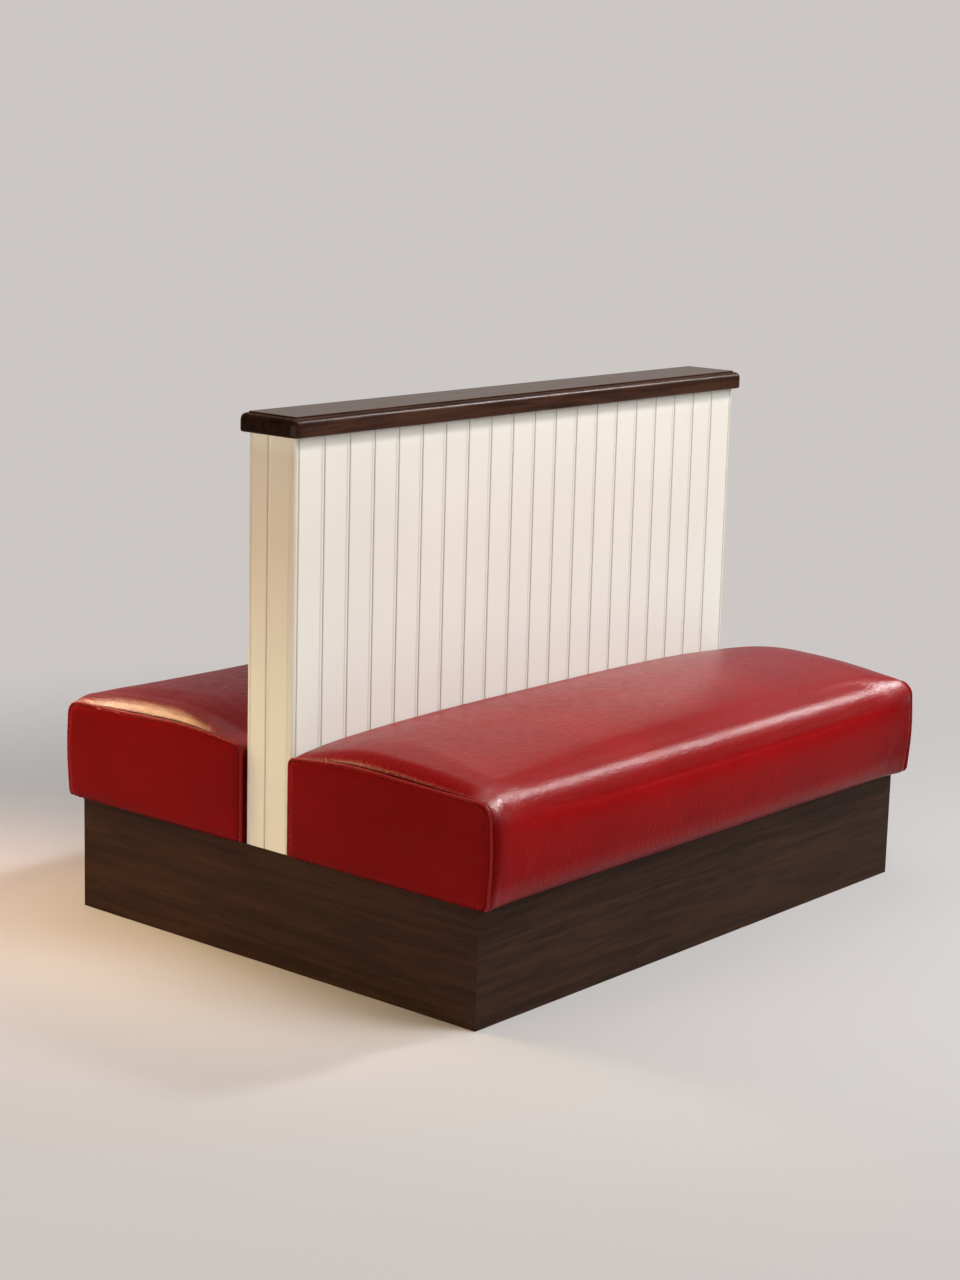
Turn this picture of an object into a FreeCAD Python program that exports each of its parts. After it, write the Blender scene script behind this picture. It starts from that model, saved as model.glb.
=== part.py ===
import FreeCAD, Part
import math
import os

# Double-sided restaurant booth: an oak plinth, a boarded partition under a moulded cap
# rail, and an upholstered seat on each side. Millimetres. X runs along the booth, the
# front seat faces -Y, Z is up, and the origin is on the floor under the middle.

# Plinth
booth_length = 1400.0
base_depth = 1060.0
base_height = 230.0
base_panel_thickness = 18.0
rib_thickness = 18.0
rib_count = 3
rib_floor_clearance = 8.0
rib_housing_depth = 6.0
corner_block_leg = 45.0
corner_block_setback = 20.0

# Partition frame and boards
partition_thickness = 122.0
partition_height = 801.0
board_thickness = 14.0
face_board_count = 20
end_board_width = 57.0
rail_height = 38.0
post_width = 45.0
stud_housing_depth = 8.0
nogging_height = 70.0
nogging_height_shares = (0.34, 0.67)

# Tongue, groove and bead along each board
tongue_length = 5.0
tongue_thickness = 4.0
tongue_back = 5.0
bead_width = 8.0
quirk_width = 1.6
quirk_depth = 1.6
vee_depth = 2.2

# Corner beads of the partition: how far each runs along X and along Y
wide_bead_run = 15.0
middle_bead_run = 10.0
narrow_bead_run = 8.5
corner_bead_round = 5.0

# Cap rail
cap_overhang = 16.0
cap_edge_height = 23.0
cap_shoulder_round = 12.5
cap_step_width = 3.5
cap_step_height = 3.0
cap_lower_round = 4.0
spline_width = 30.0
spline_thickness = 6.0
spline_setback = 60.0

# Room between wooden pieces that slide into one another
joint_clearance = 0.2

# Seat: where it sits
seat_rest_gap = 0.3
seat_back_gap = 5.0
seat_front_overhang = 44.0
seat_end_overhang = 11.0

# Seat outline where the end seams are, and at mid length
end_back_height = 193.0
end_crown_height = 208.0
end_front_height = 198.0
end_back_round = 13.0
end_shoulder_round = 26.0
end_face_setback = 9.0
end_lip_tuck = 8.0
end_lip_round = 14.0
middle_back_height = 220.0
middle_crown_height = 247.0
middle_front_height = 210.0
middle_back_round = 16.0
middle_shoulder_round = 56.0
middle_lip_tuck = 22.0
middle_lip_round = 18.0
crown_fall = 4.0
crown_back_share = 0.30
crown_front_share = 0.66
face_bulge_share = 0.50
crown_run_share = 0.45
station_shares = (0.0, 0.6, 0.86, 0.96, 1.0)
fullness_shares = (1.0, 0.98, 0.90, 0.59, 0.0)
least_round_share = 0.5

# Seat: end seams and end panels
seam_width = 3.2
seam_tuck = 2.2
end_bulge = 4.0
end_bulge_inset = 14.0
welt_radius = 2.6
welt_side_count = 8

# Seat: layers
cover_thickness = 1.2
cover_return = 24.0
layer_gap = 0.3
deck_thickness = 18.0
deck_inset = 8.0
dust_cover_thickness = 0.8
cleat_width = 40.0
cleat_height = 20.0
cleat_end_clearance = 25.0

# One overrun for every cut
overrun = 2.0

X_AXIS = FreeCAD.Vector(1, 0, 0)
Z_AXIS = FreeCAD.Vector(0, 0, 1)
ORIGIN = FreeCAD.Vector(0, 0, 0)

half_length = booth_length / 2
half_depth = base_depth / 2
half_partition = partition_thickness / 2
partition_top = base_height + partition_height
frame_half_length = half_length - board_thickness
frame_half_depth = half_partition - board_thickness
inner_half_depth = half_depth - base_panel_thickness
inner_half_length = half_length - base_panel_thickness
seat_depth = half_depth + seat_front_overhang - half_partition - seat_back_gap
seam_x = half_length + seat_end_overhang
seat_bottom = base_height + seat_rest_gap


def box(low, high):
    """A block between two opposite corners."""
    size = [high[i] - low[i] for i in range(3)]
    return Part.makeBox(size[0], size[1], size[2], FreeCAD.Vector(*low))


def upright(edges, bottom, height):
    """A plan outline, drawn at height zero, raised into a solid."""
    face = Part.Face(Part.Wire(edges))
    face.translate(FreeCAD.Vector(0, 0, bottom))
    return face.extrude(FreeCAD.Vector(0, 0, height))


def polygon(points):
    """The edges of a closed polygon."""
    following = points[1:] + points[:1]
    return [Part.LineSegment(a, b).toShape() for a, b in zip(points, following)]


def half_turn(shape):
    """The same shape on the other side of the booth."""
    turned = shape.copy()
    turned.rotate(ORIGIN, Z_AXIS, 180)
    return turned


def cut_all(shape, tools):
    """A shape with every tool cut out of it."""
    for tool in tools:
        shape = shape.cut(tool)
    return shape


def export(node, solids):
    """One file for a node, with one solid or a group of them."""
    shape = solids[0] if len(solids) == 1 else Part.makeCompound(solids)
    shape.exportStep(os.path.join("parts", node + ".step"))


# Plinth

def plinth_panel(along, across):
    """A panel with mitred ends, its outer face turned to -Y before it is placed."""
    t = base_panel_thickness
    points = [
        FreeCAD.Vector(-along, -across, 0),
        FreeCAD.Vector(along, -across, 0),
        FreeCAD.Vector(along - t, -across + t, 0),
        FreeCAD.Vector(-along + t, -across + t, 0),
    ]
    return upright(polygon(points), 0, base_height)


def rib_places():
    """Where the ribs stand along the booth, evenly spread between the ends."""
    bay = booth_length / (rib_count + 1)
    return [-half_length + bay * (i + 1) for i in range(rib_count)]


def across_housings(places, thickness, housings_low, housings_high):
    """Blocks that cut housings for members of a thickness standing at places along X."""
    half = thickness / 2 + joint_clearance
    return [box((x - half,) + housings_low, (x + half,) + housings_high) for x in places]


def long_panel():
    """The front panel, with a housing for each rib in its inner face."""
    low = (-inner_half_depth - rib_housing_depth - joint_clearance, rib_floor_clearance - joint_clearance)
    high = (-inner_half_depth + overrun, base_height + overrun)
    housings = across_housings(rib_places(), rib_thickness, low, high)
    return cut_all(plinth_panel(half_length, half_depth), housings)


def end_panel():
    """The panel at -X."""
    panel = plinth_panel(half_depth, half_length)
    panel.rotate(ORIGIN, Z_AXIS, -90)
    return panel


def plinth_ribs():
    """Upright ribs housed in the front and rear panels, just clear of the floor."""
    reach = inner_half_depth + rib_housing_depth
    ribs = []
    for x in rib_places():
        low = (x - rib_thickness / 2, -reach, rib_floor_clearance)
        high = (x + rib_thickness / 2, reach, base_height)
        ribs.append(box(low, high))
    return ribs


def corner_blocks():
    """Square blocks glued into the four inner corners, where the mitres meet."""
    blocks = []
    for side_x in (-1, 1):
        for side_y in (-1, 1):
            x_out = side_x * inner_half_length
            y_out = side_y * inner_half_depth
            x_in = x_out - side_x * corner_block_leg
            y_in = y_out - side_y * corner_block_leg
            low = (min(x_in, x_out), min(y_in, y_out), corner_block_setback)
            high = (max(x_in, x_out), max(y_in, y_out), base_height - corner_block_setback)
            blocks.append(box(low, high))
    return blocks


# Partition frame

def frame_bays():
    """The upright members along the frame: an end post, a stud in each inner bay, an end post."""
    ribs = rib_places()
    studs = [(a + b) / 2 for a, b in zip(ribs, ribs[1:])]
    end_post = frame_half_length - post_width / 2
    return [-end_post] + studs + [end_post]


def frame_block(x_low, x_high, z_low, z_high):
    """A frame member over the full depth of the frame."""
    return box((x_low, -frame_half_depth, z_low), (x_high, frame_half_depth, z_high))


def frame_rail(bottom, inner_face, inward):
    """A rail over the frame's length, housed in its inner face for every upright."""
    rail = frame_block(-frame_half_length, frame_half_length, bottom, bottom + rail_height)
    floor = inner_face - inward * (stud_housing_depth + joint_clearance)
    opening = inner_face + inward * overrun
    low = (-frame_half_depth - overrun, min(floor, opening))
    high = (frame_half_depth + overrun, max(floor, opening))
    return cut_all(rail, across_housings(frame_bays(), post_width, low, high))


def frame_upright(x):
    """A post or stud, let into both rails."""
    low = base_height + rail_height - stud_housing_depth
    high = partition_top - rail_height + stud_housing_depth
    return frame_block(x - post_width / 2, x + post_width / 2, low, high)


def noggings():
    """Rows of short rails between the uprights, which the boards are nailed to."""
    places = frame_bays()
    blocks = []
    for share in nogging_height_shares:
        middle = base_height + partition_height * share
        low = middle - nogging_height / 2
        for left, right in zip(places, places[1:]):
            x_low = left + post_width / 2
            x_high = right - post_width / 2
            blocks.append(frame_block(x_low, x_high, low, low + nogging_height))
    return blocks


# Boards

def board_edges(width, place, has_groove, has_tongue, has_bead):
    """The section of a board: chamfered face, bead with its quirk, tongue and groove.

    place turns a distance along the wall and a depth behind its face into a plan point.
    """
    groove_front = board_thickness - tongue_back - tongue_thickness - joint_clearance
    groove_back = board_thickness - tongue_back + joint_clearance
    groove_depth = tongue_length + joint_clearance
    tongue_front = groove_front + joint_clearance
    tongue_rear = groove_back - joint_clearance
    corners = [place(0, vee_depth), place(vee_depth, 0)]
    edges = []
    if has_bead:
        corners += [place(width - bead_width - quirk_width, 0), place(width - bead_width, quirk_depth)]
        crest = place(width - bead_width / 2, 0)
        edges.append(Part.Arc(corners[-1], crest, place(width, vee_depth)).toShape())
    else:
        corners += [place(width - vee_depth, 0), place(width, vee_depth)]
    after = [place(width, vee_depth)]
    if has_tongue:
        after += [place(width, tongue_front), place(width + tongue_length, tongue_front)]
        after += [place(width + tongue_length, tongue_rear), place(width, tongue_rear)]
    after += [place(width, board_thickness), place(0, board_thickness)]
    if has_groove:
        after += [place(0, groove_back), place(groove_depth, groove_back)]
        after += [place(groove_depth, groove_front), place(0, groove_front)]
    after.append(place(0, vee_depth))
    for chain in (corners, after):
        edges += [Part.LineSegment(a, b).toShape() for a, b in zip(chain, chain[1:])]
    return Part.sortEdges(edges)[0]


def board(width, place, has_groove, has_tongue, has_bead):
    """A board from the plinth up to the cap rail."""
    edges = board_edges(width, place, has_groove, has_tongue, has_bead)
    return upright(edges, base_height, partition_height)


def face_boards(start, end):
    """The boards of a long face, from start to end along X, facing -Y."""
    width = (end - start) / face_board_count
    boards = []
    for i in range(face_board_count):
        left = start + width * i

        def place(along, depth, left=left):
            return FreeCAD.Vector(left + along, -half_partition + depth, 0)

        is_last = i == face_board_count - 1
        boards.append(board(width, place, i > 0, not is_last, not is_last))
    return boards


def end_boards(start, end):
    """The two boards of the -X end, from start to end along Y: a whole one and a cut one."""
    seam = start + end_board_width
    boards = []
    for low, high, is_last in ((start, seam, False), (seam, end, True)):

        def place(along, depth, low=low):
            return FreeCAD.Vector(-half_length + depth, low + along, 0)

        boards.append(board(high - low, place, is_last, not is_last, not is_last))
    return boards


def corner_bead(run_x, run_y, side_x, side_y):
    """A rounded strip at a corner of the partition, eased where the boards meet it."""

    def place(along_x, along_y):
        return FreeCAD.Vector(side_x * (half_length - along_x), side_y * (half_partition - along_y), 0)

    r = corner_bead_round
    near = r - r * math.sqrt(0.5)
    outline = [place(r, 0), place(run_x - vee_depth, 0), place(run_x, vee_depth), place(run_x, run_y)]
    outline += [place(vee_depth, run_y), place(0, run_y - vee_depth), place(0, r)]
    edges = [Part.LineSegment(a, b).toShape() for a, b in zip(outline, outline[1:])]
    edges.append(Part.Arc(outline[-1], place(near, near), outline[0]).toShape())
    return upright(Part.sortEdges(edges)[0], base_height, partition_height)


# Cap rail

def level_edges(shape, height):
    """The edges of a shape that lie level at a given height."""
    low = height - joint_clearance
    high = height + joint_clearance
    return [e for e in shape.Edges if e.BoundBox.ZMin > low and e.BoundBox.ZMax < high]


def cap_rail():
    """The whole cap: an upright edge, a rounded shoulder, a small step and a flat top."""
    half_x = half_length + cap_overhang
    half_y = half_partition + cap_overhang
    inset = cap_shoulder_round + cap_step_width
    shoulder_top = partition_top + cap_edge_height + cap_shoulder_round
    rail = box((-half_x, -half_y, partition_top), (half_x, half_y, shoulder_top))
    corners = [e for e in rail.Edges if e.BoundBox.ZLength > cap_edge_height]
    rail = rail.makeFillet(inset, corners)
    rail = rail.makeFillet(cap_shoulder_round, level_edges(rail, shoulder_top))
    rail = rail.makeFillet(cap_lower_round, level_edges(rail, partition_top))
    step_low = (-half_x + inset, -half_y + inset, partition_top + cap_edge_height)
    step_high = (half_x - inset, half_y - inset, shoulder_top + cap_step_height)
    return rail.fuse(box(step_low, step_high)).removeSplitter()


def cap_spline(clearance):
    """The loose strip that joins the cap's two boards, stopped short of their ends."""
    half_x = half_length + cap_overhang - spline_setback + clearance
    half_y = spline_width / 2 + clearance
    half_z = spline_thickness / 2 + clearance
    middle = partition_top + (cap_edge_height + cap_shoulder_round) / 2
    return box((-half_x, -half_y, middle - half_z), (half_x, half_y, middle + half_z))


def cap_boards():
    """The cap as its two boards, glued along the middle over the strip."""
    whole = cap_rail().cut(cap_spline(joint_clearance))
    bound = whole.BoundBox
    boards = []
    for y_low, y_high in ((bound.YMin - overrun, 0), (0, bound.YMax + overrun)):
        low = (bound.XMin - overrun, y_low, bound.ZMin - overrun)
        high = (bound.XMax + overrun, y_high, bound.ZMax + overrun)
        boards.append(whole.common(box(low, high)))
    return boards


# Seat outline

def blend(at_end, at_middle, fullness):
    """A size between its value at the end seam and its value at mid length."""
    return at_end + (at_middle - at_end) * fullness


def seat_corners(fullness):
    """The corners of the seat's section as depth from the back and height, with their radii.

    A radius of None is as large as the two runs beside the corner allow.
    """
    back_height = blend(end_back_height, middle_back_height, fullness)
    crown_height = blend(end_crown_height, middle_crown_height, fullness)
    front_height = blend(end_front_height, middle_front_height, fullness)
    back_round = blend(end_back_round, middle_back_round, fullness)
    shoulder_round = blend(end_shoulder_round, middle_shoulder_round, fullness)
    lip_tuck = blend(end_lip_tuck, middle_lip_tuck, fullness)
    lip_round = blend(end_lip_round, middle_lip_round, fullness)
    face = seat_depth - end_face_setback * (1 - fullness)
    face_top = face - lip_tuck * (1 - face_bulge_share) / 2
    return [
        (0, 0, 0),
        (0, back_height, back_round),
        (seat_depth * crown_back_share, crown_height, None),
        (seat_depth * crown_front_share, crown_height - crown_fall, None),
        (face_top, front_height, shoulder_round),
        (face, front_height * face_bulge_share, None),
        (face - lip_tuck, 0, lip_round),
    ]


def inset_corners(corners, inset):
    """The same outline drawn in by a distance: each side moves in, and the corners follow."""
    count = len(corners)
    sides = []
    for i in range(count):
        ax, ay, _ = corners[i]
        bx, by, _ = corners[(i + 1) % count]
        run = math.hypot(bx - ax, by - ay)
        ux = (bx - ax) / run
        uy = (by - ay) / run
        sides.append((ax + uy * inset, ay - ux * inset, ux, uy))
    drawn_in = []
    for i in range(count):
        px, py, pu, pv = sides[i - 1]
        qx, qy, qu, qv = sides[i]
        turn = pu * qv - pv * qu
        along = ((qx - px) * qv - (qy - py) * qu) / turn
        radius = corners[i][2]
        if radius:
            radius = max(radius - inset, radius * least_round_share)
        drawn_in.append((px + pu * along, py + pv * along, radius))
    return drawn_in


def unit(a, b):
    """The direction from one point of the outline to another, and the run between them."""
    run = math.hypot(b[0] - a[0], b[1] - a[1])
    return (b[0] - a[0]) / run, (b[1] - a[1]) / run, run


def rounded_corner(before, corner, after):
    """The points where a corner's tangent arc starts, is midway and ends, or a sharp corner."""
    if corner[2] == 0:
        return [corner[:2]]
    ux, uy, run_before = unit(corner, before)
    vx, vy, run_after = unit(corner, after)
    half_angle = math.acos(ux * vx + uy * vy) / 2
    if corner[2] is None:
        reach = crown_run_share * min(run_before, run_after)
    else:
        reach = corner[2] / math.tan(half_angle)
    radius = reach * math.tan(half_angle)
    near = radius / math.sin(half_angle) - radius
    spread = math.hypot(ux + vx, uy + vy)
    enter = (corner[0] + ux * reach, corner[1] + uy * reach)
    middle = (corner[0] + (ux + vx) / spread * near, corner[1] + (uy + vy) / spread * near)
    leave = (corner[0] + vx * reach, corner[1] + vy * reach)
    return [enter, middle, leave]


def rounded_outline(corners):
    """The outline's corners in order, each as the points of its arc."""
    following = corners[1:] + corners[:1]
    previous = corners[-1:] + corners[:-1]
    return [rounded_corner(a, b, c) for a, b, c in zip(previous, corners, following)]


def seat_place(x, point):
    """A point of the outline, as depth and height, in the plane at x."""
    return FreeCAD.Vector(x, -(half_partition + seat_back_gap + point[0]), seat_bottom + point[1])


def seat_wire(corners, x):
    """The outline as lines and tangent arcs, in the plane at x."""
    arcs = rounded_outline(corners)
    edges = []
    for here, following in zip(arcs, arcs[1:] + arcs[:1]):
        if len(here) == 3:
            edges.append(Part.Arc(*[seat_place(x, point) for point in here]).toShape())
        edges.append(Part.LineSegment(seat_place(x, here[-1]), seat_place(x, following[0])).toShape())
    return Part.Wire(edges)


def seat_block(inset):
    """The crowned block between the end seams, where it turns in; inset draws in every side."""
    wires = [seat_wire(inset_corners(seat_corners(0), inset + seam_tuck), -seam_x)]
    steps = list(zip(station_shares, fullness_shares))
    for share, fullness in [(-share, fullness) for share, fullness in reversed(steps[1:])] + steps:
        corners = inset_corners(seat_corners(fullness), inset)
        wires.append(seat_wire(corners, share * (seam_x - seam_width)))
    wires.append(seat_wire(inset_corners(seat_corners(0), inset + seam_tuck), seam_x))
    return Part.makeLoft(wires, True, True)


def end_pillow():
    """The padded end panel at -X, bulging out from the seam."""
    seam = seat_wire(inset_corners(seat_corners(0), seam_tuck), -seam_x)
    crown = seat_wire(inset_corners(seat_corners(0), end_bulge_inset), -seam_x - end_bulge)
    return Part.makeLoft([seam, crown], True, True)


def welt_path():
    """The way of the piping at -X as lines and arcs: up the back, over the top, down the front.

    It follows the groove between the covers, as far from it as the piping's radius.
    """
    slope = math.hypot(seam_width, seam_tuck) / seam_width
    rise = (welt_radius + layer_gap) * slope - seam_tuck
    arcs = rounded_outline(inset_corners(seat_corners(0), -rise))
    start = (arcs[0][0][0], welt_radius)
    last = start
    edges = []
    for arc in arcs[1:-1]:
        places = [seat_place(-seam_x, point) for point in arc]
        edges.append(Part.LineSegment(seat_place(-seam_x, last), places[0]).toShape())
        edges.append(Part.Arc(*places).toShape())
        last = arc[-1]
    edges.append(Part.LineSegment(seat_place(-seam_x, last), seat_place(-seam_x, arcs[-1][0])).toShape())
    return Part.Wire(edges), seat_place(-seam_x, start)


def welt():
    """The piping in the seam at -X, faceted all round, swept along its way."""
    path, start = welt_path()
    step = math.tau / welt_side_count
    angles = [step * (i + 0.5) for i in range(welt_side_count)]
    ring = [FreeCAD.Vector(math.cos(angle), math.sin(angle), 0) * welt_radius + start for angle in angles]
    return path.makePipeShell([Part.Wire(polygon(ring))], True, False)


def mirrored_x(shape):
    """A shape mirrored to the other end of the booth."""
    return shape.mirror(ORIGIN, X_AXIS)


# Seat pieces

def seat_slab(x_range, depth_range, height_range):
    """A flat piece of the seat, by depth from the seat's back and height over its underside."""
    back = half_partition + seat_back_gap
    low = (x_range[0], -back - depth_range[1], seat_bottom + height_range[0])
    high = (x_range[1], -back - depth_range[0], seat_bottom + height_range[1])
    return box(low, high)


def cleat_runs():
    """Where the two cleats lie along X: each in an end bay, between a corner block and a rib."""
    block_face = inner_half_length - corner_block_leg - cleat_end_clearance
    rib_face = max(rib_places()) + rib_thickness / 2 + cleat_end_clearance
    return [(-block_face, -rib_face), (rib_face, block_face)]


def front_seat():
    """Every piece of the front seat, by its name within the seat."""
    lip_depth = seat_depth - middle_lip_tuck - middle_lip_round
    opening_front = lip_depth - cover_return
    opening_half = seam_x - cover_return
    deck_half = seam_x - deck_inset
    deck_top = cover_thickness + deck_thickness
    deck = seat_slab((-deck_half, deck_half), (deck_inset, lip_depth), (cover_thickness, deck_top))
    room_half = deck_half + layer_gap
    room_depths = (deck_inset - layer_gap, lip_depth + layer_gap)
    deck_room = seat_slab((-room_half, room_half), room_depths, (-overrun, deck_top + layer_gap))

    cleat_front = opening_front - layer_gap
    cleat_back = cleat_front - cleat_width
    cleat_heights = (cover_thickness - cleat_height, cover_thickness)
    cleats = [seat_slab(run, (cleat_back, cleat_front), cleat_heights) for run in cleat_runs()]

    opening = seat_slab((-opening_half, opening_half), (cover_return, opening_front), (-overrun, deck_top))
    cover = cut_all(seat_block(0), [seat_block(cover_thickness), opening])
    foam = seat_block(cover_thickness + layer_gap).cut(deck_room)
    left_end = end_pillow()
    left_welt = welt()

    dust_half = opening_half - layer_gap
    dust_depths = (cover_return + layer_gap, cleat_back - layer_gap)
    dust_heights = (cover_thickness - dust_cover_thickness, cover_thickness)
    return {
        "deck": [deck],
        "cleats": cleats,
        "foam": [foam],
        "cover": [cover],
        "left_end_cover": [left_end],
        "right_end_cover": [mirrored_x(left_end)],
        "welts": [left_welt, mirrored_x(left_welt)],
        "dust_cover": [seat_slab((-dust_half, dust_half), dust_depths, dust_heights)],
    }


# Whole booth

def plinth_nodes():
    """The plinth's panels, ribs and corner blocks."""
    front = long_panel()
    left = end_panel()
    return {
        "base_front_panel": [front],
        "base_rear_panel": [half_turn(front)],
        "base_left_end_panel": [left],
        "base_right_end_panel": [half_turn(left)],
        "base_ribs": plinth_ribs(),
        "base_corner_blocks": corner_blocks(),
    }


def partition_nodes():
    """The partition's frame, boards and corner beads."""
    uprights = [frame_upright(x) for x in frame_bays()]
    face_start = -half_length + middle_bead_run
    front_end = half_length - narrow_bead_run
    rear_end = half_length - board_thickness
    end_start = -half_partition + wide_bead_run
    left_end = half_partition - narrow_bead_run
    right_end = half_partition - board_thickness
    beads = [
        corner_bead(middle_bead_run, wide_bead_run, -1, -1),
        corner_bead(board_thickness, narrow_bead_run, -1, 1),
        corner_bead(narrow_bead_run, board_thickness, 1, -1),
        corner_bead(middle_bead_run, wide_bead_run, 1, 1),
    ]
    top_rail_bottom = partition_top - rail_height
    return {
        "partition_bottom_rail": [frame_rail(base_height, base_height + rail_height, 1)],
        "partition_top_rail": [frame_rail(top_rail_bottom, top_rail_bottom, -1)],
        "partition_end_posts": [uprights[0], uprights[-1]],
        "partition_studs": uprights[1:-1],
        "partition_noggings": noggings(),
        "front_boards": face_boards(face_start, front_end),
        "rear_boards": [half_turn(b) for b in face_boards(face_start, rear_end)],
        "left_end_boards": end_boards(end_start, left_end),
        "right_end_boards": [half_turn(b) for b in end_boards(end_start, right_end)],
        "corner_beads": beads,
    }


def booth_nodes():
    """Every node of the booth and its solids."""
    nodes = plinth_nodes()
    nodes.update(partition_nodes())
    cap_front, cap_rear = cap_boards()
    nodes["cap_front_board"] = [cap_front]
    nodes["cap_rear_board"] = [cap_rear]
    nodes["cap_spline"] = [cap_spline(0)]
    other_end = {"left_end_cover": "right_end_cover", "right_end_cover": "left_end_cover"}
    for name, solids in front_seat().items():
        nodes["front_seat_" + name] = solids
        nodes["rear_seat_" + other_end.get(name, name)] = [half_turn(s) for s in solids]
    return nodes


def main():
    os.makedirs("parts", exist_ok=True)
    for node, solids in booth_nodes().items():
        export(node, solids)


main()
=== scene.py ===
import math

import bpy
import numpy as np
from bpy.props import FloatProperty, FloatVectorProperty, PointerProperty
from mathutils import Matrix, Vector


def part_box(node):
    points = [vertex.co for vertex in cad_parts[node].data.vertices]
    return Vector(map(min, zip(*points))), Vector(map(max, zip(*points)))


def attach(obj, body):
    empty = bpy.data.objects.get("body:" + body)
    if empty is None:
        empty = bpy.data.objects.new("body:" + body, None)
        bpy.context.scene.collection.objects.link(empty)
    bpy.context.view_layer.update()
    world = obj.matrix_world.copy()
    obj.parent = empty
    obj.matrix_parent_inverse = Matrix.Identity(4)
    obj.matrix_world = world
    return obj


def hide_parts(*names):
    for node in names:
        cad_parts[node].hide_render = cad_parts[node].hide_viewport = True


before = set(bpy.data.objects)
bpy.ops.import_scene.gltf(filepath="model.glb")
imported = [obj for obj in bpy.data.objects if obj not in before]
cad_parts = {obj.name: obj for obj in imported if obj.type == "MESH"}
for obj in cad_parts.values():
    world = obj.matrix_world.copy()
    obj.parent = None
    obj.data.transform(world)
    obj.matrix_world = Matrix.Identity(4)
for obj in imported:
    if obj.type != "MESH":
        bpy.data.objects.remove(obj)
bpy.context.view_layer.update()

bl_info = {
    "name": "Restaurant Booth",
    "version": (1, 0, 0),
    "blender": (4, 5, 0),
    "location": "View3D > Sidebar > Booth",
    "description": "Dresses a double-sided restaurant booth: woodwork, upholstery and studio",
    "category": "Object",
}

MM = 0.001

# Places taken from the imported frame, in metres
BOARDS_LOW, BOARDS_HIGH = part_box("front_boards")
REAR_BOARDS_LOW, REAR_BOARDS_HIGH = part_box("rear_boards")
END_BOARDS_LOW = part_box("left_end_boards")[0]
CAP_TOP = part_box("cap_front_board")[1][2]
COVER_LOW, COVER_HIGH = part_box("front_seat_cover")
DUST_LOW, DUST_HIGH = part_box("front_seat_dust_cover")
DECK_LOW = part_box("front_seat_deck")[0]

# The partition's boards
BOARD_COUNT = 20
END_BOARD_WIDTH = 57 * MM
END_JOINT_PITCH = 0.2

# The main covers' lower edges
FLAP = 24 * MM
LIP_ROUND = 18 * MM
END_LIP_ROUND = 14 * MM
HEEL_ROUND = 4 * MM
LIFT_WIDTH = 9 * MM

# The main covers' section; pairs are at the end seam and at mid length
BACK_ROUND = (13 * MM, 16 * MM)
CREST_DROP = (7 * MM, 4 * MM)
CREST_SHARES = (0.30, 0.66)
SHOULDER_SETBACK = 4 * MM
SHOULDER_LEAN = 0.30
FACE_MIDDLE_SHARE = 0.50

# Power and ease with which the fullness falls towards the end seams
SLOW_FULLNESS = (3.6, 0.72)
FAST_FULLNESS = (18.0, 0.80)

# How deep a cover sinks into its seam, and over what width
SEAM_DIP = 3.4 * MM
SEAM_DIP_WIDTH = 1.7 * MM

# What the cloth simulation holds, and how far from there the covers are eased into it
HELD_END, HELD_BACK, HELD_LOW = 34 * MM, 6 * MM, 12 * MM
EASE_END, EASE_SIDE = 100 * MM, 40 * MM

# The end panels' turned-in edge and slow dome, and the piping's place outside the seam
PANEL_TUCK = 4 * MM
PANEL_DOME_WIDTH = 60 * MM
WELT_PROUD = 1.6 * MM

# The dust cloths
DUST_GRID = (57, 17)
DUST_GAP = 0.1 * MM
DUST_SAG = 0.15 * MM
DUST_THICKNESS = 0.5 * MM

# The floor
FLOOR_RINGS, FLOOR_SIDES = 23, 72
FLOOR_RADIUS = 14
FLOOR_DROP = 0.5 * MM
FLOOR_FADE = (0.9, 2.5)


# Sizes and colours that a user would change

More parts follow.
